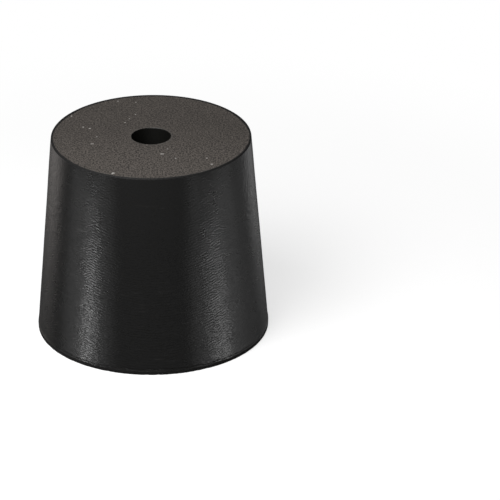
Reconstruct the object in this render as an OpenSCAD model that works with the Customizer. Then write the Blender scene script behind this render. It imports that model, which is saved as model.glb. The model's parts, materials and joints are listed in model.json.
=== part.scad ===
// One-hole laboratory stopper, moulded in one piece from black rubber.
// It stands on its wide face: the origin is the centre of that face, and +Z
// runs up the middle of the hole to the narrow end.

/* [Body] */
// Largest diameter, over the trimmed lip near the wide face
wide_d = 28; // [25.5:0.5:45]
// Diameter of the narrow face, measured to its sharp corner
narrow_d = 24; // [12:0.5:27]
// Height from the wide face to the narrow face
stopper_h = 25; // [10:0.5:50]
// Rounding of the narrow face's rim
narrow_rim_r = 0.15; // [0.05:0.05:1.5]

/* [Wide end] */
// Height of the plain upright band between the wide face and the lip
band_h = 0.5; // [0.3:0.05:3]
// How far the band draws in from the lip to the wide face
band_in = 0.02; // [0:0.01:1]
// Rounding of the wide face's rim
wide_rim_r = 0.1; // [0.05:0.05:0.25]
// Height of the lip that is left where the moulding was trimmed
lip_h = 0.25; // [0.1:0.05:1]
// How far the lip stands out from the taper
lip_out = 0.06; // [0.02:0.01:0.4]

/* [Hole] */
// Diameter of the hole through the middle
bore_d = 4.7; // [2:0.1:12]
// Rounding where the hole meets each face
mouth_r = 0.1; // [0.05:0.05:1]

/* [Hidden] */

wide_r = wide_d / 2;
narrow_r = narrow_d / 2;
bore_r = bore_d / 2;
lip_top = band_h + lip_h;
taper_foot_r = wide_r - lip_out;
round_fn = 96;
turn_fn = 180;

// Corners of half the section, anticlockwise from the hole's foot.
// Each is [distance from the axis, height, rounding], and 0 leaves it sharp.
SECTION = [
    [bore_r, 0, mouth_r],
    [wide_r - band_in, 0, wide_rim_r],
    [wide_r, band_h, 0],
    [wide_r, lip_top, 0],
    [taper_foot_r, lip_top, 0],
    [narrow_r, stopper_h, narrow_rim_r],
    [bore_r, stopper_h, mouth_r]
];

function spot(corner) = [corner[0], corner[1]];
function unit(v) = v / norm(v);

// Half the angle between two directions that leave one corner
function half_angle(a, b) = acos(unit(a) * unit(b)) / 2;

// The corner at i with the directions to its neighbours on both sides
function back_way(c, i) = unit(spot(c[(i + len(c) - 1) % len(c)]) - spot(c[i]));
function next_way(c, i) = unit(spot(c[(i + 1) % len(c)]) - spot(c[i]));
function half_at(c, i) = half_angle(back_way(c, i), next_way(c, i));

// Where a rounding of radius c[i][2] touches the two sides of its corner
function touch(c, i) = c[i][2] / tan(half_at(c, i));
function cut_corner(c, i) = c[i][2] == 0
    ? [spot(c[i])]
    : [
        spot(c[i]) + touch(c, i) * back_way(c, i),
        spot(c[i]) + touch(c, i) * next_way(c, i)
    ];

// Centre of that rounding, on the line that halves the corner
function round_centre(c, i) = spot(c[i])
    + c[i][2] / sin(half_at(c, i)) * unit(back_way(c, i) + next_way(c, i));

// A closed outline whose corners bulge out, each with its own rounding
module rounded_outline(c) {
    polygon([for (i = [0:len(c) - 1]) each cut_corner(c, i)]);
    for (i = [0:len(c) - 1])
        if (c[i][2] > 0)
            translate(round_centre(c, i))
                circle(r = c[i][2], $fn = round_fn);
}

module stopper() {
    color([0.17, 0.165, 0.16])
        rotate_extrude($fn = turn_fn)
            rounded_outline(SECTION);
}

stopper();
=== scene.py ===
# %% [markdown]
# # A black rubber stopper with one hole
#
# A laboratory stopper is a single moulding. Raw rubber is pressed into a
# tapered hole in a hot steel plate, cured, pulled out, and torn or cut from the
# thin sheet of spare rubber that joins it to its neighbours. Everything that
# makes it look real comes from that: a side with the skin of the mould, a
# ragged lip where the spare sheet was torn off, a short upright band below the
# lip, and two dry, dusty end faces.
#
# The first cell loads the engineering model. It is the fixed frame: it says
# where the stopper is and how large it is.

# %% Load the frame
import json
import math

import bpy
import numpy as np
from mathutils import Matrix, Vector


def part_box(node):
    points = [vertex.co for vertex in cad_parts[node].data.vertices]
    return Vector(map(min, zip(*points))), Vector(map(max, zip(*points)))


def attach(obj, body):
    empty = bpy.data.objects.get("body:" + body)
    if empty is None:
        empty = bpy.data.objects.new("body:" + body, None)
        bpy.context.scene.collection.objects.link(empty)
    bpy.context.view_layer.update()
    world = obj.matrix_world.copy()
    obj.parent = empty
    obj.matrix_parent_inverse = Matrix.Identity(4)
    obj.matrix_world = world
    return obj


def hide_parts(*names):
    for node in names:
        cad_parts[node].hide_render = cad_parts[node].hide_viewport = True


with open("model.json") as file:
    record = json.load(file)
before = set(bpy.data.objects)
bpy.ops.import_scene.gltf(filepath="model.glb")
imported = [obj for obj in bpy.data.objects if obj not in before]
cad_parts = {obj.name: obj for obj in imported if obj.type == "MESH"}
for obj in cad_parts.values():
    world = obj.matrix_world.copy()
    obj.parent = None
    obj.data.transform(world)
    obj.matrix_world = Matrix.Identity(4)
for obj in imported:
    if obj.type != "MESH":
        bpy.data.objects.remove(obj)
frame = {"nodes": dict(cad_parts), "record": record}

MM = 0.001

for name in ("Cube", "Light", "Camera"):
    if name in bpy.data.objects:
        bpy.data.objects.remove(bpy.data.objects[name])

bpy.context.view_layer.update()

# %% [markdown]
# ## The sizes
#
# The overall sizes come from the frame, and so does the hole, which the record
# states as a mount. The small edges are named here in millimetres. They repeat
# the engineering model, and a later cell measures how well they agree with it.

# %% Read and name the sizes
stopper_low, stopper_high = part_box("stopper")
HEIGHT = stopper_high.z - stopper_low.z
WIDE_R = min(stopper_high.x, stopper_high.y)

mounts = {mount["name"]: mount for mount in frame["record"]["mounts"]}
BORE_R = mounts["tube_hole"]["dims"]["r_mm"] * MM

NARROW_R = 12 * MM
BAND_HEIGHT = 0.5 * MM
BAND_IN = 0.02 * MM
LIP_HEIGHT = 0.25 * MM
LIP_OUT = 0.06 * MM
NARROW_RIM_R = 0.15 * MM
WIDE_RIM_R = 0.1 * MM
MOUTH_R = 0.1 * MM
LIP_TOP = BAND_HEIGHT + LIP_HEIGHT
print(f"height {HEIGHT / MM:.2f} mm, wide radius {WIDE_R / MM:.3f} mm, hole radius {BORE_R / MM:.2f} mm")

# %% [markdown]
# ## Half the section, as rows of points
#
# A turned or moulded round thing is fully described by half its section. Blender
# has a Screw modifier that would turn a drawn outline, but the skin of this
# stopper has to be pushed in and out point by point, so the outline is worked
# out as an array and turned with a formula.
#
# Two helpers are enough: a straight run, and an arc that rounds a corner. A
# straight run gets one extra point close to each end. Smooth shading blends the
# normals of neighbouring rows, and those extra rows keep the blend inside the
# rounding, so that the flat stays flat.

# %% Straight runs and rounded corners
HOLD = 0.04 * MM


def straight(start, end, steps):
    """Points from start to end. Each is start plus a share of the way to end. The shares are
    even, apart from the first and the last, which lie HOLD from the ends."""
    start, end = np.array(start, float), np.array(end, float)
    hold = HOLD / np.linalg.norm(end - start)
    shares = np.concatenate([[hold], np.linspace(0, 1, steps + 1)[1:-1], [1 - hold]])
    return start + shares[:, None] * (end - start)


def rounding(before, corner, after, radius, steps):
    """An arc in place of a corner. Unit ways lead from the corner to its two neighbours. With half
    the angle between them, the arc starts and ends radius / tan(half) along each way, and its centre
    lies radius / sin(half) along the line that halves the corner. From the centre, each point's way is
    the blend by sines of the ways to the first and the last point, so the points turn evenly."""
    before, corner, after = (np.array(point, float) for point in (before, corner, after))
    back = (before - corner) / np.linalg.norm(before - corner)
    ahead = (after - corner) / np.linalg.norm(after - corner)
    half = math.acos(float(back @ ahead)) / 2
    centre = corner + radius / math.sin(half) * (back + ahead) / np.linalg.norm(back + ahead)
    first = corner + back * radius / math.tan(half) - centre
    last = corner + ahead * radius / math.tan(half) - centre
    turn = math.pi - 2 * half
    share = np.linspace(0, 1, steps + 1)[:, None]
    return centre + (np.sin((1 - share) * turn) * first + np.sin(share * turn) * last) / math.sin(turn)


# %% [markdown]
# ## The stopper's own outline
#
# The outline starts at the foot of the hole, runs out over the wide face, up the
# band, over the lip, up the taper, in over the narrow face and back down the
# hole. Going round this way, with the turn counted anticlockwise from above,
# every face comes out pointing outwards. Each run also says which zone of the
# stopper it belongs to, because the zones are finished differently. The side
# has by far the most rows, because it carries the dents.
#
# The ledge on top of the lip is shorter than two holds, so its two points pass
# each other. That leaves a nick 0.02 mm deep under the taper, which suits a torn
# lip: the outline bends back there but never crosses itself.

# %% Build the outline and its zones
FOOT = (BORE_R, 0)
WIDE_RIM = (WIDE_R - BAND_IN, 0)
LIP_FOOT = (WIDE_R, BAND_HEIGHT)
LIP_CREST = (WIDE_R, LIP_TOP)
TAPER_FOOT = (WIDE_R - LIP_OUT, LIP_TOP)
NARROW_RIM = (NARROW_R, HEIGHT)
MOUTH = (BORE_R, HEIGHT)

ARC_STEPS = 4
WIDE_FACE_STEPS = 18
BAND_STEPS = 6
LIP_STEPS = 2
LEDGE_STEPS = 1
SIDE_STEPS = 126
NARROW_FACE_STEPS = 16
BORE_STEPS = 8
MOUTH_POINTS_ON_FACE = 2


def between(rounded_before, rounded_after, steps):
    """A straight run from the last point of one rounding to the first point of the next."""
    return straight(rounded_before[-1], rounded_after[0], steps)


foot_arc = rounding(MOUTH, FOOT, WIDE_RIM, MOUTH_R, ARC_STEPS)
wide_arc = rounding(FOOT, WIDE_RIM, LIP_FOOT, WIDE_RIM_R, ARC_STEPS)
narrow_arc = rounding(TAPER_FOOT, NARROW_RIM, MOUTH, NARROW_RIM_R, ARC_STEPS)
mouth_arc = rounding(NARROW_RIM, MOUTH, FOOT, MOUTH_R, ARC_STEPS)

runs = [
    ("face", foot_arc),
    ("face", between(foot_arc, wide_arc, WIDE_FACE_STEPS)),
    ("band", wide_arc),
    ("band", between(wide_arc, [LIP_FOOT], BAND_STEPS)),
    ("lip", straight(LIP_FOOT, LIP_CREST, LIP_STEPS)),
    ("lip", straight(LIP_CREST, TAPER_FOOT, LEDGE_STEPS)),
    ("side", between([TAPER_FOOT], narrow_arc, SIDE_STEPS)),
    ("rim", narrow_arc),
    ("face", between(narrow_arc, mouth_arc, NARROW_FACE_STEPS)),
    # The rest of the mouth's rounding takes the hole's darker colour: painted shade.
    ("face", mouth_arc[:MOUTH_POINTS_ON_FACE]),
    ("bore", mouth_arc[MOUTH_POINTS_ON_FACE:]),
    ("bore", between(mouth_arc, foot_arc, BORE_STEPS)),
]
section = np.concatenate([points for _, points in runs])
zone = np.concatenate([[name] * len(points) for name, points in runs])
print(len(section), "points round the section")

# %% [markdown]
# How true is this outline? The frame's own mesh is a fine check: every vertex of
# it lies on the engineering model's surface, so its distance from the axis and
# its height must fall on the outline. For each vertex the nearest point of the
# nearest edge is found, all at once, and the largest distance is printed.

# %% Measure the outline against the frame


def distance_to_outline(points, outline):
    """Distance from each point to a closed outline. A point is dropped onto every edge, its share
    of the way along is kept between 0 and 1, and the shortest drop counts."""
    way = np.roll(outline, -1, axis=0) - outline
    gap = points[:, None, :] - outline[None, :, :]
    share = np.clip((gap * way).sum(-1) / (way * way).sum(-1), 0, 1)
    return np.linalg.norm(gap - share[..., None] * way, axis=-1).min(1)


cad_mesh = frame["nodes"]["stopper"].data
cad_points = np.empty(len(cad_mesh.vertices) * 3)
cad_mesh.vertices.foreach_get("co", cad_points)
cad_points = cad_points.reshape(-1, 3)
cad_section = np.column_stack([np.hypot(cad_points[:, 0], cad_points[:, 1]), cad_points[:, 2]])
strayed = distance_to_outline(cad_section, section)
print(f"the frame's vertices lie within {strayed.max() / MM:.3f} mm of the outline")

# %% [markdown]
# ## Noise without a grid
#
# The skin of a moulding is uneven at several scales. A simple way to get smooth
# random heights on any surface is to add up cosine waves that run through space
# in random directions. The sum has no grid, no poles and no seam where the turn
# closes, because it only looks at where a point is. The lengths of the waves
# choose how coarse it is. The random numbers are seeded, so it is the same
# stopper every time.

# %% Random waves in space
SEED = 28
SKIN_WAVES = 48
CREASE_SHARPNESS = 4
random = np.random.default_rng(SEED)


def waves(points, shortest, longest, count=SKIN_WAVES):
    """Smooth noise of about unit size. Each wave is the cosine of the point's distance along a random
    direction, times two pi over the wave's length, plus a random start. The lengths are spread evenly
    in proportion between shortest and longest, and the sum is scaled by the root of two over count."""
    ways = random.normal(size=(count, 3))
    ways /= np.linalg.norm(ways, axis=1)[:, None]
    lengths = np.exp(random.uniform(math.log(shortest), math.log(longest), count))
    starts = random.uniform(0, 2 * math.pi, count)
    turns = points @ (ways * (2 * math.pi / lengths)[:, None]).T + starts
    return np.cos(turns).sum(-1) * math.sqrt(2 / count)


def creases(points, shortest, longest):
    """Heights with narrow valleys: 1 minus e to the minus (sharpness times the noise) squared. The
    noise passes through 0 along winding lines, and those lines become the valleys."""
    return 1 - np.exp(-(CREASE_SHARPNESS * waves(points, shortest, longest)) ** 2)


# %% [markdown]
# ## From outline to skin
#
# The grid has one column for each step of the turn and one row for each point of
# the outline. Every grid point may be pushed along the outline's own outward
# direction, and a push is a small number of micrometres:
#
# - the side has broad shallow dents and faint creases, which calm down just
#   below the rim of the narrow face, and the hole has the same dents,
# - the band is crumpled, because the rubber tore and shrank there,
# - the end faces are a little uneven, pushed inwards only, so that the stopper
#   still stands on its plane and stays inside its box.
#
# Each pair of sizes is the shortest and the longest wave of one kind of
# unevenness, and each depth is how far its waves push the skin.

# %% Turn the outline and push the skin
UM = 0.001 * MM
TURN_STEPS = 480

turn = np.linspace(0, 2 * math.pi, TURN_STEPS, endpoint=False)
slope = np.roll(section, -1, axis=0) - np.roll(section, 1, axis=0)
outward = np.column_stack([slope[:, 1], -slope[:, 0]])
outward /= np.linalg.norm(outward, axis=1)[:, None]


def turned(distance, height):
    """The grid's points in space: distance from the axis times the cosine and the sine of the turn,
    and the height as it is."""
    across = np.cos(turn)[:, None] * distance
    along = np.sin(turn)[:, None] * distance
    return np.stack([across, along, height + np.zeros_like(across)], axis=-1)


base = turned(section[:, 0], section[:, 1])
spots = base.reshape(-1, 3)


def on_grid(values):
    """Values for every point as a grid of columns and rows."""
    return values.reshape(TURN_STEPS, len(section))


def only(name):
    """1 on the rows of one zone and 0 elsewhere."""
    return (zone == name).astype(float)


DENT_SIZES = (4 * MM, 12 * MM)
CREASE_SIZES = (0.9 * MM, 1.8 * MM)
CRUMPLE_SIZES = (0.5 * MM, 1.8 * MM)
SAG_SIZES = (3 * MM, 10 * MM)

dents = on_grid(waves(spots, *DENT_SIZES))
wrinkles = on_grid(creases(spots, *CREASE_SIZES))
crumples = on_grid(np.abs(waves(spots, *CRUMPLE_SIZES)))
sags = on_grid(waves(spots, *SAG_SIZES))

DENT_DEPTH = 6 * UM
CREASE_DEPTH = 1.5 * UM
CRUMPLE_DEPTH = 12 * UM
SAG_DEPTH = 5 * UM
CALM_REACH = 0.8 * MM

calm = 1 - np.exp(-(HEIGHT - section[:, 1]) / CALM_REACH)
push = (
    (only("side") + only("rim")) * calm * (DENT_DEPTH * dents + CREASE_DEPTH * wrinkles)
    - only("band") * CRUMPLE_DEPTH * crumples
    + only("face") * SAG_DEPTH * (sags - sags.max())
    + only("bore") * DENT_DEPTH * dents
)
print(f"pushes from {push.min() / UM:.0f} to {push.max() / UM:.0f} micrometres")

# %% [markdown]
# ## The torn lip
#
# The lip is where the thin sheet of spare rubber was torn off, so it is never a
# clean ring. It leans in a little towards its crest, it is torn back unevenly,
# and its line wanders up and down by up to a tenth of a millimetre. A ring of
# its own could be laid on and roughened, but it is enough to shift the lip's own
# rows: each column of the grid gets its own tear and its own lift. The lift
# fades out over the rows above and below, so that nothing creases.

# %% Tear the lip
LIP_WAVES = 80
WAVE_LIMIT = 2
TEAR_SIZES = (0.5 * MM, 3 * MM)
TEAR_SHARE = 0.3
WANDER_SIZES = (0.9 * MM, 14 * MM)
WANDER_UP = 0.05 * MM
WANDER_REACH = 0.35 * MM
LIP_LEAN = 0.03 * MM

lip_line = turned(np.array([WIDE_R]), np.array([LIP_TOP])).reshape(-1, 3)
tears = np.clip(np.abs(waves(lip_line, *TEAR_SIZES, LIP_WAVES)) / WAVE_LIMIT, 0, 1)
wander = np.clip(waves(lip_line, *WANDER_SIZES, LIP_WAVES), -WAVE_LIMIT, WAVE_LIMIT)

above = np.exp(-np.maximum(section[:, 1] - LIP_TOP, 0) / WANDER_REACH)
below = np.clip(section[:, 1] / LIP_TOP, 0, 1)
outside = (section[:, 0] > NARROW_R).astype(float)
lift = WANDER_UP * wander[:, None] * above * below * outside

lean = LIP_LEAN * only("lip") * np.clip((section[:, 1] - BAND_HEIGHT) / LIP_HEIGHT, 0, 1)
torn = TEAR_SHARE * LIP_OUT * only("lip") * tears[:, None]

distance = section[:, 0] + push * outward[:, 0] - lean - torn
height = np.clip(section[:, 1] + push * outward[:, 1] + lift, 0, HEIGHT)
skin_points = turned(distance, height)
print(f"the lip's line wanders by up to {abs(lift).max() / UM:.0f} micrometres")

# %% [markdown]
# ## The mesh
#
# The grid closes both ways: the last column meets the first, and the last row,
# inside the hole, meets the first. That makes one closed skin with a hole
# through it, with no seam and no pole. `foreach_set` hands whole arrays to
# Blender, which is far quicker than a loop over vertices.

# %% Make the stopper's mesh


def closed_grid_mesh(name, points):
    """A mesh from a grid that closes both ways. The corners of a square are a point, the next one
    along the turn, the next one along both, and the next one along the outline."""
    columns, rows = points.shape[:2]
    number = np.arange(columns * rows).reshape(columns, rows)
    along_turn = np.roll(number, -1, axis=0)
    along_both = np.roll(along_turn, -1, axis=1)
    along_outline = np.roll(number, -1, axis=1)
    squares = np.stack([number, along_turn, along_both, along_outline], axis=-1).reshape(-1, 4)
    mesh = bpy.data.meshes.new(name)
    mesh.vertices.add(number.size)
    mesh.vertices.foreach_set("co", points.reshape(-1))
    mesh.loops.add(squares.size)
    mesh.loops.foreach_set("vertex_index", squares.reshape(-1))
    mesh.polygons.add(len(squares))
    mesh.polygons.foreach_set("loop_start", np.arange(0, squares.size, 4))
    mesh.polygons.foreach_set("use_smooth", np.ones(len(squares), bool))
    mesh.update(calc_edges=True)
    mesh.validate()
    return mesh


def paint(mesh, name, values):
    """Stores one number for each vertex under a name that a material can read."""
    mesh.attributes.new(name, "FLOAT", "POINT").data.foreach_set("value", values)


skin_mesh = closed_grid_mesh("stopper_skin", skin_points)
for zone_name in ("side", "rim", "band", "lip", "face", "bore"):
    paint(skin_mesh, zone_name, np.tile(only(zone_name), TURN_STEPS))

skin = bpy.data.objects.new("stopper_skin", skin_mesh)
bpy.context.scene.collection.objects.link(skin)
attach(skin, "root")
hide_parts("stopper")
print(len(skin_mesh.vertices), "vertices,", 2 * len(skin_mesh.polygons), "triangles")

# %% [markdown]
# ## Writing shader maths as Python
#
# A material is a tree of nodes. Adding them one by one hides the formula, so a
# small class wraps a socket and gives it the usual operators: `1 - mask` adds a
# Math node set to subtract. Only the operators that the stopper needs are there.

# %% A wrapped socket


class Wire:
    """An output socket that takes part in Python arithmetic."""

    def __init__(self, tree, socket):
        self.tree = tree
        self.socket = socket

    def calc(self, operation, first, second=0.0):
        """One Math node on two values or sockets."""
        return self.tree.node("Math", {"operation": operation}, {0: first, 1: second})

    def __add__(self, other):
        return self.calc("ADD", self, other)

    def __radd__(self, other):
        return self.calc("ADD", other, self)

    def __sub__(self, other):
        return self.calc("SUBTRACT", self, other)

    def __rsub__(self, other):
        return self.calc("SUBTRACT", other, self)

    def __mul__(self, other):
        return self.calc("MULTIPLY", self, other)

    def __rmul__(self, other):
        return self.calc("MULTIPLY", other, self)

    def sine(self):
        """The sine of a turn in radians."""
        return self.calc("SINE", self)


# %% [markdown]
# ## A tree that grows by methods
#
# Everything that isn't plain arithmetic goes through one method that adds a
# node, applies its settings, and then fills or links its sockets. The other
# methods are the few phrases that the recipe is made of: a smooth step, a thin
# line, a blend of two colours, a zone, a place in millimetres and noise.

# %% A wrapped tree


class Tree:
    """The node tree of a material or of the world, emptied and ready."""

    def __init__(self, owner):
        owner.use_nodes = True
        self.nodes = owner.node_tree.nodes
        self.links = owner.node_tree.links
        self.nodes.clear()

    def node(self, kind, settings=None, sockets=None, output=0):
        """Adds one node: its settings first, then the value or the link of each socket."""
        made = self.nodes.new("ShaderNode" + kind)
        for name, value in (settings or {}).items():
            setattr(made, name, value)
        for name, value in (sockets or {}).items():
            if isinstance(value, Wire):
                self.links.new(value.socket, made.inputs[name])
            else:
                made.inputs[name].default_value = value
        return Wire(self, made.outputs[output]) if made.outputs else made

    def ease(self, value, low, high, to_low=0.0, to_high=1.0):
        """Moves smoothly from to_low to to_high while value goes from low to high."""
        return self.node(
            "MapRange",
            {"interpolation_type": "SMOOTHSTEP"},
            {"Value": value, "From Min": low, "From Max": high, "To Min": to_low, "To Max": to_high},
        )

    def line(self, value, middle, width):
        """1 where value is middle, fading to 0 at width to either side."""
        return self.ease(value, middle - width, middle) * self.ease(value, middle + width, middle)

    def blend(self, share, colour_a, colour_b):
        """Colour a where share is 0 and colour b where it is 1."""
        return self.node("Mix", {"data_type": "RGBA"}, {0: share, 6: colour_a, 7: colour_b}, output=2)

    def zone(self, name):
        """The zone's number that was painted on the mesh."""
        return self.node("Attribute", {"attribute_name": name}, output="Fac")

    def millimetres(self, scale=(1, 1, 1)):
        """The piece's own coordinates, counted in millimetres and stretched by scale."""
        place = self.node("TexCoord", output="Object")
        sizes = [value / MM for value in scale]
        return self.node("Mapping", {}, {"Vector": place, "Scale": sizes})

    def along(self, axis):
        """One of the piece's own coordinates in millimetres: X to the right, Y backwards or Z up."""
        return self.node("SeparateXYZ", {}, {0: self.millimetres()}, output=axis)

    def noise(self, vector, scale, detail=2.0, roughness=0.5, distortion=0.0):
        """Soft noise around 0.5, with scale lumps to the millimetre."""
        return self.node(
            "TexNoise",
            {},
            {
                "Vector": vector,
                "Scale": scale,
                "Detail": detail,
                "Roughness": roughness,
                "Distortion": distortion,
            },
        )


# %% [markdown]
# ## One rubber, five finishes
#
# The whole stopper is one compound of rubber and soot, so there is one material.
# What differs is the surface:
#
# - the side copied a polished mould, so it is satin, with a finely rippled skin,
#   and the lip is much like it,
# - the narrow face is dry and granular and carries a film of warm grey dust,
# - the wide face is paler still, and marked from lying on benches,
# - the band and the rounded rim of the narrow face are dull, and painted nearly
#   black, darker than the side: the rubber's black with painted shade,
# - the hole is painted darker than the side: painted shade in the recess.
#
# A colour is the share of red, green and blue light that comes back, and a last
# number, 1, that means opaque. Each part of the recipe is a function, so that it
# can be read and changed alone.

# %% Name the colours
SIDE_COLOUR = (0.0080, 0.0079, 0.0077, 1)
SCUFF_COLOUR = (0.030, 0.029, 0.028, 1)
FACE_COLOUR = (0.030, 0.0257, 0.0226, 1)
DUST_COLOUR = (0.113, 0.0985, 0.0865, 1)
# Pale colour for wear at the mouth and for the painted highlight on the front corner.
WORN_AND_HIGHLIGHT_COLOUR = (0.110, 0.104, 0.096, 1)
WIDE_COLOUR = (0.058, 0.054, 0.049, 1)
BLOOM_COLOUR = (0.105, 0.098, 0.090, 1)
# Pale colour for marks on the wide face, and for its rim: wear with a painted highlight.
PALE_MARK_AND_HIGHLIGHT_COLOUR = (0.230, 0.218, 0.202, 1)
SPECK_COLOUR = (0.38, 0.36, 0.34, 1)
# Painted shade: the band, the rim and the ring inside it are darker than the side.
BLACK_AND_SHADE_COLOUR = (0.0045, 0.0042, 0.0040, 1)
# Painted shade: the hole is darker than the side.
BORE_SHADE_COLOUR = (0.0050, 0.0049, 0.0040, 1)
print(f"the dust is {DUST_COLOUR[0] / SIDE_COLOUR[0]:.0f} times as pale as the side")

# %% [markdown]
# ## Specks
#
# A few pale specks of dust lie on the narrow face. They could be tiny flakes of
# their own, but a speck is thinner than paint, so it is only a spot of colour:
# the distance from its middle, turned into 1 inside and 0 outside. Each row says
# how far right and back of the axis a speck lies and how wide it is, in mm.

# %% Scatter the specks
SPECKS = (
    (1.3, -5.1, 0.30),
    (1.5, -5.1, 0.26),
    (7.3, -8.0, 0.34),
    (-4.3, -10.4, 0.40),
    (-4.4, -10.6, 0.26),
    (6.7, -6.3, 0.24),
    (3.0, -6.3, 0.24),
    (2.0, -3.7, 0.20),
    (-7.4, 2.2, 0.28),
    (-8.2, 2.6, 0.26),
    (-7.1, -2.2, 0.22),
    (-6.9, -2.2, 0.22),
    (-6.5, -0.2, 0.22),
    (-9.7, 5.8, 0.24),
    (-4.2, 10.1, 0.24),
    (-2.0, 9.8, 0.20),
    (-2.0, 6.2, 0.20),
    (-2.7, 5.0, 0.20),
    (-3.2, 3.9, 0.22),
)
SPECK_CORE = 0.30
SPECK_EDGE = 0.60


def specks(tree):
    """Pale specks: 1 as far from a speck's middle as SPECK_CORE times its width, fading to 0 at
    SPECK_EDGE times its width."""
    place = tree.millimetres()
    total = 0.0
    for right, back, width in SPECKS:
        middle = (right, back, HEIGHT / MM)
        away = tree.node("VectorMath", {"operation": "DISTANCE"}, {0: place, 1: middle}, output="Value")
        total = tree.ease(away, SPECK_EDGE * width, SPECK_CORE * width) + total
    return total


print(len(SPECKS), "specks")

# %% [markdown]
# ## The narrow face
#
# This face was pressed against the flat end of the mould and has dried out. Dust
# clings to its grain, and the grain is drawn stronger towards the front. The face
# is also painted paler towards the front, and a little at the back: painted
# light, where the lamps would light it more. Round the outer corner, a ring
# painted near black and wider at the back is painted shade, and a pale line on
# the front of the corner is a painted highlight. The mouth of the hole is a
# little pale too, from wear.
#
# Each pair of numbers says where something starts and where it is full. Places
# are in millimetres, counted back from the axis or out from it. A smooth step
# between the two numbers does the rest, so every edge is soft.

# %% Dust the narrow face
FACE_GRAIN = {"scale": 5.0, "detail": 1.0, "roughness": 0.7}
FACE_CLOUD = {"scale": 0.45, "detail": 3.0}
GRAIN_MIDDLE = 0.5
GRAIN_CONTRAST = 0.9
FRONT_GRAIN_CONTRAST = 2.9
CLOUD_SHARE = 0.1
# Painted light: the face is painted paler towards the front and a little at the back.
FRONT_PAINTED_LIGHT = 0.07
BACK_PAINTED_LIGHT = 0.02
DUST_AND_LIGHT_RANGE = (-0.10, 0.24)
TOWARDS_FRONT = (2.0, -11.0)
TOWARDS_BACK = (4.0, 11.0)

# Painted shade along the corner: a dark ring, wider at the back.
SHADE_RING_EDGE = (11.80, 11.90)
SHADE_RING_NOISE = {"scale": 1.5, "detail": 2.0}
SHADE_RING_RAGGED = 0.16
SHADE_RING_WIDER_AT_BACK = 0.21
BACK_HALF = (0.0, 5.0)
FRONT_CORNER = (-7.5, -10.0)
FRONT_CORNER_HIGHLIGHT = 0.9
MOUTH_EDGE = (2.7, 2.5)
MOUTH_WEAR = 0.25


def from_axis(tree):
    """Distance from the axis in millimetres: the length of the place with its height left out."""
    level_place = tree.millimetres((1, 1, 0))
    return tree.node("VectorMath", {"operation": "LENGTH"}, {0: level_place}, output="Value")


def narrow_face_colour(tree):
    """Dark rubber under dust. The dust follows grain, which is noise less its middle value, made
    stronger towards the front, plus a little cloud. The extra paleness for the front and the back
    is painted light, the dark ring is painted shade and the pale front corner a painted highlight."""
    place = tree.millimetres()
    back = tree.along("Y")
    forward = tree.ease(back, *TOWARDS_FRONT)
    rearward = tree.ease(back, *TOWARDS_BACK)
    contrast = GRAIN_CONTRAST + FRONT_GRAIN_CONTRAST * forward
    grain = (tree.noise(place, **FACE_GRAIN) - GRAIN_MIDDLE) * contrast
    cloud = tree.noise(place, **FACE_CLOUD)
    # Dust, plus painted light: the front and the back are painted paler, as if lit more.
    amount = grain + cloud * CLOUD_SHARE + forward * FRONT_PAINTED_LIGHT + rearward * BACK_PAINTED_LIGHT
    colour = tree.blend(tree.ease(amount, *DUST_AND_LIGHT_RANGE), FACE_COLOUR, DUST_COLOUR)

    away = from_axis(tree)
    # Painted shade: a ring near black just inside the corner, wider at the back.
    ragged = away + SHADE_RING_RAGGED * tree.noise(place, **SHADE_RING_NOISE)
    shade_ring = tree.ease(ragged + SHADE_RING_WIDER_AT_BACK * tree.ease(back, *BACK_HALF), *SHADE_RING_EDGE)
    front = tree.ease(back, *FRONT_CORNER)
    colour = tree.blend(tree.ease(away, *MOUTH_EDGE) * MOUTH_WEAR, colour, WORN_AND_HIGHLIGHT_COLOUR)
    colour = tree.blend(shade_ring * (1 - front), colour, BLACK_AND_SHADE_COLOUR)
    # Painted highlight: a pale line on the front of the corner.
    colour = tree.blend(shade_ring * front * FRONT_CORNER_HIGHLIGHT, colour, WORN_AND_HIGHLIGHT_COLOUR)
    return tree.blend(specks(tree), colour, SPECK_COLOUR)


print(f"the dark ring starts about {NARROW_R / MM - SHADE_RING_EDGE[0]:.1f} mm in from the corner, or more")

# %% [markdown]
# ## The wide face
#
# This is the face that stands on benches. It has a pale bloom all over, one thin
# dark scratch runs straight in from near the rim, and faint loops lie round the
# hole where something was rubbed against it. Its rim is painted pale: partly
# wear, partly a painted highlight along the edge. Loops could be drawn as curves,
# but soft noise has them already: where it passes through one value, it does so
# along winding closed lines.

# %% Mark the wide face
BLOOM_GRAIN = {"scale": 5.0, "detail": 2.0, "roughness": 0.7}
BLOOM_CLOUD = {"scale": 0.25, "detail": 3.0}
BLOOM_GRAIN_SHARE = 0.75
BLOOM_CLOUD_SHARE = 0.25
BLOOM_RANGE = (0.38, 0.62)

LOOP_NOISE = {"scale": 0.32, "detail": 0.0}
LOOP_VALUE = 0.5
LOOP_WIDTH = 0.03
HOLE_RING = 3.3
HOLE_RING_WIDTH = 0.3
LOOPS_REACH = (8.5, 6.0)
LOOPS_UNEVEN = 2.0
LOOPS_STRENGTH = 0.6

SCRATCH_SLANT = 0.35
SCRATCH_RIGHT = 8.3
SCRATCH_WIDTH = 0.12
SCRATCH_START = (1.0, 1.4)
SCRATCH_END = (12.6, 12.2)

RIM_WEAR_AND_HIGHLIGHT = (13.72, 13.86)
RIM_WEAR_AND_HIGHLIGHT_UNEVEN = 0.3
RIM_WEAR_AND_HIGHLIGHT_STRENGTH = 0.7


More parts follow.
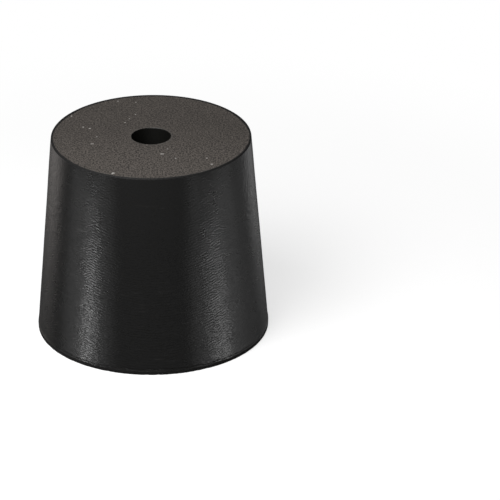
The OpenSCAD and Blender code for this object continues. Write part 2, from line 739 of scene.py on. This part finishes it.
def wide_face_colour(tree):
    """Pale bloom with loops, a scratch and a pale rim, which is wear with a painted highlight. The
    scratch is the line where the place to the right plus a share of the place to the back has one value."""
    place = tree.millimetres()
    right = tree.along("X")
    back = tree.along("Y")
    away = from_axis(tree)
    cloud = tree.noise(place, **BLOOM_CLOUD)
    bloom = tree.noise(place, **BLOOM_GRAIN) * BLOOM_GRAIN_SHARE + cloud * BLOOM_CLOUD_SHARE
    colour = tree.blend(tree.ease(bloom, *BLOOM_RANGE), WIDE_COLOUR, BLOOM_COLOUR)

    loops = tree.line(tree.noise(place, **LOOP_NOISE), LOOP_VALUE, LOOP_WIDTH)
    loops = loops + tree.line(away, HOLE_RING, HOLE_RING_WIDTH) * cloud
    near_hole = tree.ease(away + LOOPS_UNEVEN * cloud, *LOOPS_REACH)
    colour = tree.blend(loops * near_hole * LOOPS_STRENGTH, colour, PALE_MARK_AND_HIGHLIGHT_COLOUR)

    scratch = tree.line(right + SCRATCH_SLANT * back, SCRATCH_RIGHT, SCRATCH_WIDTH)
    scratch = scratch * tree.ease(back, *SCRATCH_START) * tree.ease(away, *SCRATCH_END)
    colour = tree.blend(scratch, colour, SIDE_COLOUR)

    # Wear with a painted highlight: a pale line along the rim.
    rim = tree.ease(away + RIM_WEAR_AND_HIGHLIGHT_UNEVEN * cloud, *RIM_WEAR_AND_HIGHLIGHT)
    return tree.blend(rim * RIM_WEAR_AND_HIGHLIGHT_STRENGTH, colour, PALE_MARK_AND_HIGHLIGHT_COLOUR)


print(f"the scratch leans {math.degrees(math.atan(SCRATCH_SLANT)):.0f} degrees from straight back")

# %% [markdown]
# ## The side
#
# The mould leaves the side soot black. Handling leaves faint level scuffs. The
# noise behind them is stretched sideways, so its lumps become streaks. A second,
# broad noise keeps them to a few places.

# %% Scuff the side
SCUFF_STRETCH = (0.3, 0.3, 2.6)
SCUFF_NOISE = {"scale": 1.0, "detail": 4.0, "roughness": 0.6}
SCUFF_RANGE = (0.56, 0.8)
SCUFF_PLACES = {"scale": 0.16, "detail": 2.0}
SCUFF_PLACES_RANGE = (0.42, 0.62)


def side_colour(tree):
    """Soot black, scuffed where both noises are high."""
    streak = tree.ease(tree.noise(tree.millimetres(SCUFF_STRETCH), **SCUFF_NOISE), *SCUFF_RANGE)
    places = tree.ease(tree.noise(tree.millimetres(), **SCUFF_PLACES), *SCUFF_PLACES_RANGE)
    return tree.blend(streak * places, SIDE_COLOUR, SCUFF_COLOUR)


print(f"scuffs are about {SCUFF_STRETCH[2] / SCUFF_STRETCH[0]:.0f} times as long as they are high")

# %% [markdown]
# ## Ripples
#
# Under a lamp the side shows a skin of short level ripples, about three to the
# millimetre. Rubber flows and shrinks as it cures, and its skin folds as cream
# does. They are too fine for the mesh, so they are a bump: a height that only
# tilts the light. Three trains of waves climb the side at different slants. One
# noise bends them a little. The red, green and blue of another let a new train
# lead about every half millimetre, which breaks the crests into short dashes.

# %% Ripple the side
# For each train, waves to the millimetre rightwards, backwards and upwards.
RIPPLE_TRAINS = ((1.2, 0.4, 3.1), (-1.3, 1.0, 3.3), (0.1, -1.5, 3.0))
RIPPLE_BEND = {"scale": 1.2, "detail": 1.0}
RIPPLE_BEND_TURNS = 0.7
LEAD_SCALE = 1.8
LEAD_RANGE = (0.42, 0.56)


def ripples(tree):
    """Ripples between -1 and 1: the sine of two pi times the number of waves passed on the way here.
    Where a train leads, its wave takes the place of the trains before it."""
    place = tree.millimetres()
    lead = tree.node("TexNoise", {}, {"Vector": place, "Scale": LEAD_SCALE, "Detail": 0.0}, output="Color")
    bend = tree.noise(place, **RIPPLE_BEND) * RIPPLE_BEND_TURNS
    total = 0.0
    for train, channel in zip(RIPPLE_TRAINS, "XYZ"):
        passed = tree.node("VectorMath", {"operation": "DOT_PRODUCT"}, {0: place, 1: train}, output="Value")
        wave = ((passed + bend) * (2 * math.pi)).sine()
        share = tree.ease(tree.node("SeparateXYZ", {}, {0: lead}, output=channel), *LEAD_RANGE)
        total = total + (wave - total) * share
    return total


for train in RIPPLE_TRAINS:
    print(f"ripples {1 / math.hypot(*train):.2f} mm apart")

# %% [markdown]
# ## The rest of the fine skin
#
# The other finishes get a bump too, each in micrometres: a soft unevenness under
# the ripples, broader lumps on the two flanks, where fingers hold the stopper,
# grain on the end faces, and crumples on the band. The ripples are deepest low
# down, and about a third as deep at the narrow end.

# %% Give the skin its relief
RIPPLE_HEIGHT = 5
DEEP_RIPPLES = (24.0, 13.0)
SHALLOW_SHARE = 0.35

SOFT_HEIGHT = 16
SOFT_STRETCH = (1, 1, 1.6)
SOFT_NOISE = {"scale": 3.2, "detail": 1.0}

HANDLED_HEIGHT = 55
HANDLED_NOISE = {"scale": 1.8, "detail": 1.0}
FLANK_SQUARED = (90.0, 135.0)
UPPER_HALF = (9.0, 19.0)

GRAIN_HEIGHT = 40
GRAIN_NOISE = {"scale": 6.0, "detail": 2.0, "roughness": 0.6}
CRUMPLE_HEIGHT = 60
CRUMPLE_NOISE = {"scale": 3.0, "detail": 3.0, "roughness": 0.6, "distortion": 0.8}


def handled(tree):
    """1 on the two flanks, left and right, in the upper half of the side. The square of the place to
    the right is the same on both flanks, so one smooth step finds both."""
    right = tree.along("X")
    return tree.ease(right * right, *FLANK_SQUARED) * tree.ease(tree.along("Z"), *UPPER_HALF)


def relief(tree):
    """Height of the finest skin, in micrometres: each zone's own bumps times its painted number."""
    place = tree.millimetres()
    deep = tree.ease(tree.along("Z"), *DEEP_RIPPLES, SHALLOW_SHARE, 1.0)
    soft = tree.noise(tree.millimetres(SOFT_STRETCH), **SOFT_NOISE)
    side = ripples(tree) * deep * RIPPLE_HEIGHT + soft * SOFT_HEIGHT
    side = side + tree.noise(place, **HANDLED_NOISE) * handled(tree) * HANDLED_HEIGHT
    face = tree.noise(place, **GRAIN_NOISE) * GRAIN_HEIGHT
    band = tree.noise(place, **CRUMPLE_NOISE) * CRUMPLE_HEIGHT
    total = (tree.zone("side") + tree.zone("lip")) * side
    total = total + tree.zone("face") * face
    return total + tree.zone("band") * band


print(f"ripples up to {RIPPLE_HEIGHT} micrometres high, and {SHALLOW_SHARE * RIPPLE_HEIGHT:.2f} at the top")

# %% [markdown]
# ## The finished rubber
#
# The zones painted on the mesh now choose between the finishes. The two end
# faces share a zone, and their height tells them apart. Roughness does most of
# the work on a black thing: 0.25 is satin, and near 1 nothing shines. A soft
# noise varies it a little, because no surface is evenly smooth.

# %% Mix the rubber
BETWEEN_FACES = (2.0, 1.0)
PATCH_NOISE = {"scale": 0.5, "detail": 3.0}
SIDE_ROUGHNESS = 0.25
SIDE_ROUGHNESS_SPREAD = 0.06
FACE_ROUGHNESS = 0.72
FACE_ROUGHNESS_SPREAD = 0.1
PLAIN_ROUGHNESS = {"band": 1.0, "lip": 0.28, "bore": 0.45, "rim": 0.8}
# Painted shade: the band, the rim and the hole take colours darker than the side.
PLAIN_COLOURS = {"band": BLACK_AND_SHADE_COLOUR, "bore": BORE_SHADE_COLOUR, "rim": BLACK_AND_SHADE_COLOUR}
RUBBER_IOR = 1.5


def rubber_colour(tree):
    """Each zone's colour, laid over the side's."""
    is_wide = tree.ease(tree.along("Z"), *BETWEEN_FACES)
    face = tree.blend(is_wide, narrow_face_colour(tree), wide_face_colour(tree))
    colour = tree.blend(tree.zone("face"), side_colour(tree), face)
    for name, zone_colour in PLAIN_COLOURS.items():
        colour = tree.blend(tree.zone(name), colour, zone_colour)
    return colour


def rubber_roughness(tree):
    """The sum of each zone's painted number times its roughness."""
    patch = tree.noise(tree.millimetres(), **PATCH_NOISE)
    side = SIDE_ROUGHNESS + SIDE_ROUGHNESS_SPREAD * patch
    face = FACE_ROUGHNESS + FACE_ROUGHNESS_SPREAD * patch
    roughness = tree.zone("side") * side + tree.zone("face") * face
    for name, value in PLAIN_ROUGHNESS.items():
        roughness = roughness + tree.zone(name) * value
    return roughness


def rubber_material():
    """The finished rubber."""
    material = bpy.data.materials.new("black_rubber")
    tree = Tree(material)
    bump = tree.node("Bump", {}, {"Height": relief(tree), "Distance": UM, "Strength": 1.0})
    sockets = {
        "Base Color": rubber_colour(tree),
        "Roughness": rubber_roughness(tree),
        "Normal": bump,
        "IOR": RUBBER_IOR,
    }
    tree.node("OutputMaterial", {}, {"Surface": tree.node("BsdfPrincipled", {}, sockets)})
    return material


skin_mesh.materials.append(rubber_material())
print("rubber nodes:", len(bpy.data.materials["black_rubber"].node_tree.nodes))

# %% [markdown]
# ## The floor
#
# The stopper stands on plain pale paper. Near it, the paper is a real surface
# that takes its shadow. Further out it turns into pure white, so that floor and
# sky meet without a line. The paper is there for the camera only: rubber this
# black would mirror white paper all round its side, so for every other ray it is
# left out, as if the stopper stood on a clear glass shelf in the dark.

# %% Lay the floor
WHITE = (1, 1, 1, 1)
PAPER_COLOUR = (0.5, 0.5, 0.5, 1)
PAPER_GLOW = 0.72
PAPER_FADE = (30 * MM, 85 * MM)
FLOOR_REACH = 3.0


def floor_material():
    """White paper that takes a shadow near the middle and glows a plain white further out."""
    material = bpy.data.materials.new("pale_floor")
    tree = Tree(material)
    place = tree.node("TexCoord", output="Object")
    away = tree.node("VectorMath", {"operation": "LENGTH"}, {0: place}, output="Value")
    paper = tree.node("BsdfDiffuse", {}, {"Color": PAPER_COLOUR})
    glow = tree.node("Emission", {}, {"Color": WHITE, "Strength": PAPER_GLOW})
    near = tree.node("AddShader", {}, {0: paper, 1: glow})
    plain = tree.node("Emission", {}, {"Color": WHITE, "Strength": 1.0})
    far = tree.ease(away, *PAPER_FADE)
    tree.node("OutputMaterial", {}, {"Surface": tree.node("MixShader", {}, {0: far, 1: near, 2: plain})})
    material.cycles.emission_sampling = "NONE"
    return material


corners = np.array([(-1, -1, 0), (1, -1, 0), (1, 1, 0), (-1, 1, 0)]) * FLOOR_REACH
floor_mesh = bpy.data.meshes.new("floor")
floor_mesh.from_pydata(corners.tolist(), [], [(0, 1, 2, 3)])
floor_mesh.materials.append(floor_material())
floor = bpy.data.objects.new("floor", floor_mesh)
floor.visible_diffuse = False
floor.visible_glossy = False
floor.visible_shadow = False
bpy.context.scene.collection.objects.link(floor)
print(f"the paper turns white from {PAPER_FADE[0] / MM:.0f} to {PAPER_FADE[1] / MM:.0f} mm out")

# %% [markdown]
# ## The surroundings
#
# The camera sees a white sky. Everything else sees a very dim one, just enough
# to keep the side from going quite black between the lamps.

# %% Light the surroundings
SKY_SEEN = 1.0
SKY_FELT = 0.082

world = bpy.data.worlds.new("studio")
bpy.context.scene.world = world
sky = Tree(world)
by_camera = sky.node("LightPath", output="Is Camera Ray")
felt = sky.node("Background", {}, {"Color": WHITE, "Strength": SKY_FELT})
seen = sky.node("Background", {}, {"Color": WHITE, "Strength": SKY_SEEN})
sky.node("OutputWorld", {}, {"Surface": sky.node("MixShader", {}, {0: by_camera, 1: felt, 2: seen})})
print("the sky is white to the camera and", SKY_FELT, "to everything else")

# %% [markdown]
# ## Lamps
#
# Black satin shows its lamps more than its colour, so each lamp is placed for
# the mark that it leaves. The camera looks down, and the side, which is nearly
# upright, mirrors what lies about as far below it as the camera is above. So the
# lamps for the side hang low, even below the level of the floor, which is there
# for the camera only.
#
# - `left_low` and `right_low` are small, and draw the two bright bars, which are
#   brightest low down,
# - `left_mid`, the wings, the pair in front and `right_back` spread soft grey
#   round the bars,
# - the rim lamps hang behind and show as pale strips along both edges, the left
#   ones a little warm,
# - `front_low` is a wide weak panel far in front, for the dark middle,
# - `near_top` and `front_top` are soft boxes above that light the narrow face.
#
# Each row is a name, the azimuth in degrees round the stopper from the camera's
# side to the right, then distance, height, width and tallness in millimetres,
# and the power in milliwatts: this is a very small set.

# %% Hang the lamps
MILLIWATT = 0.001
PLAIN = (1, 1, 1)
WARM = (1, 0.93, 0.89)
LAMPS = (
    ("left_low", -64, 120, -41, 22, 12, 14.2, PLAIN),
    ("left_mid", -69, 120, -29, 26, 12, 1.0, PLAIN),
    ("left_wing", -82, 120, -28, 50, 40, 4.0, PLAIN),
    ("left_front", -46, 120, -30, 30, 50, 2.5, PLAIN),
    ("left_rim_a", -122, 150, -20, 60, 50, 5.7, WARM),
    ("left_rim_b", -140, 150, -20, 60, 50, 3.5, WARM),
    ("right_low", 68, 120, -43, 44, 16, 13.0, PLAIN),
    ("right_wing", 84, 120, -28, 50, 40, 4.5, PLAIN),
    ("right_back", 106, 120, -30, 50, 50, 1.8, PLAIN),
    ("right_front", 46, 120, -30, 30, 50, 3.1, PLAIN),
    ("right_rim", 138, 150, -25, 80, 50, 5.4, PLAIN),
    ("front_low", 0, 450, -120, 550, 150, 43.0, PLAIN),
    ("near_top", -38, 80, 135, 90, 90, 159.0, PLAIN),
    ("front_top", -20, 100, 100, 100, 100, 60.0, PLAIN),
)
LAMP_TARGET = Vector((0, 0, 0.5 * HEIGHT))


def softbox(name, azimuth, distance, height, width, tall, power, colour):
    """A rectangular lamp that looks at the middle of the stopper. It hangs at the sine and minus the
    cosine of its azimuth, times its distance."""
    lamp = bpy.data.lights.new(name, "AREA")
    lamp.shape = "RECTANGLE"
    lamp.size = width * MM
    lamp.size_y = tall * MM
    lamp.energy = power * MILLIWATT
    lamp.color = colour
    holder = bpy.data.objects.new(name, lamp)
    angle = math.radians(azimuth)
    holder.location = Vector((math.sin(angle) * distance, -math.cos(angle) * distance, height)) * MM
    way = LAMP_TARGET - holder.location
    holder.rotation_euler = way.to_track_quat("-Z", "Y").to_euler()
    holder.visible_camera = False
    bpy.context.scene.collection.objects.link(holder)


for lamp_row in LAMPS:
    softbox(*lamp_row)
print(len(LAMPS), "lamps")

# %% [markdown]
# ## The camera
#
# The lens is long and the camera stands well back, so the sides of the stopper
# hardly converge. It looks down by about 26 degrees, enough to show the whole
# narrow face and the near edge of the wide end. The lens and the sensor are in
# millimetres, and places are in metres.

# %% Set the camera
LENS_LENGTH = 360
SENSOR_WIDTH = 36
NEAREST_SEEN = 0.01
FURTHEST_SEEN = 20
CAMERA_PLACE = (0.011781, -0.543121, 0.275427)
LOOK_DOWN = math.radians(26.065)
ROLL = math.radians(-0.178)

camera_data = bpy.data.cameras.new("camera")
camera_data.lens = LENS_LENGTH
camera_data.sensor_width = SENSOR_WIDTH
camera_data.clip_start = NEAREST_SEEN
camera_data.clip_end = FURTHEST_SEEN
camera = bpy.data.objects.new("camera", camera_data)
camera.location = CAMERA_PLACE
aim = Matrix.Rotation(math.pi / 2 - LOOK_DOWN, 3, "X") @ Matrix.Rotation(ROLL, 3, "Z")
camera.rotation_euler = aim.to_euler()
bpy.context.scene.collection.objects.link(camera)
bpy.context.scene.camera = camera
bpy.context.scene.view_settings.view_transform = "Standard"
print(f"the camera stands {camera.location.length / MM:.0f} mm from the stopper's foot")
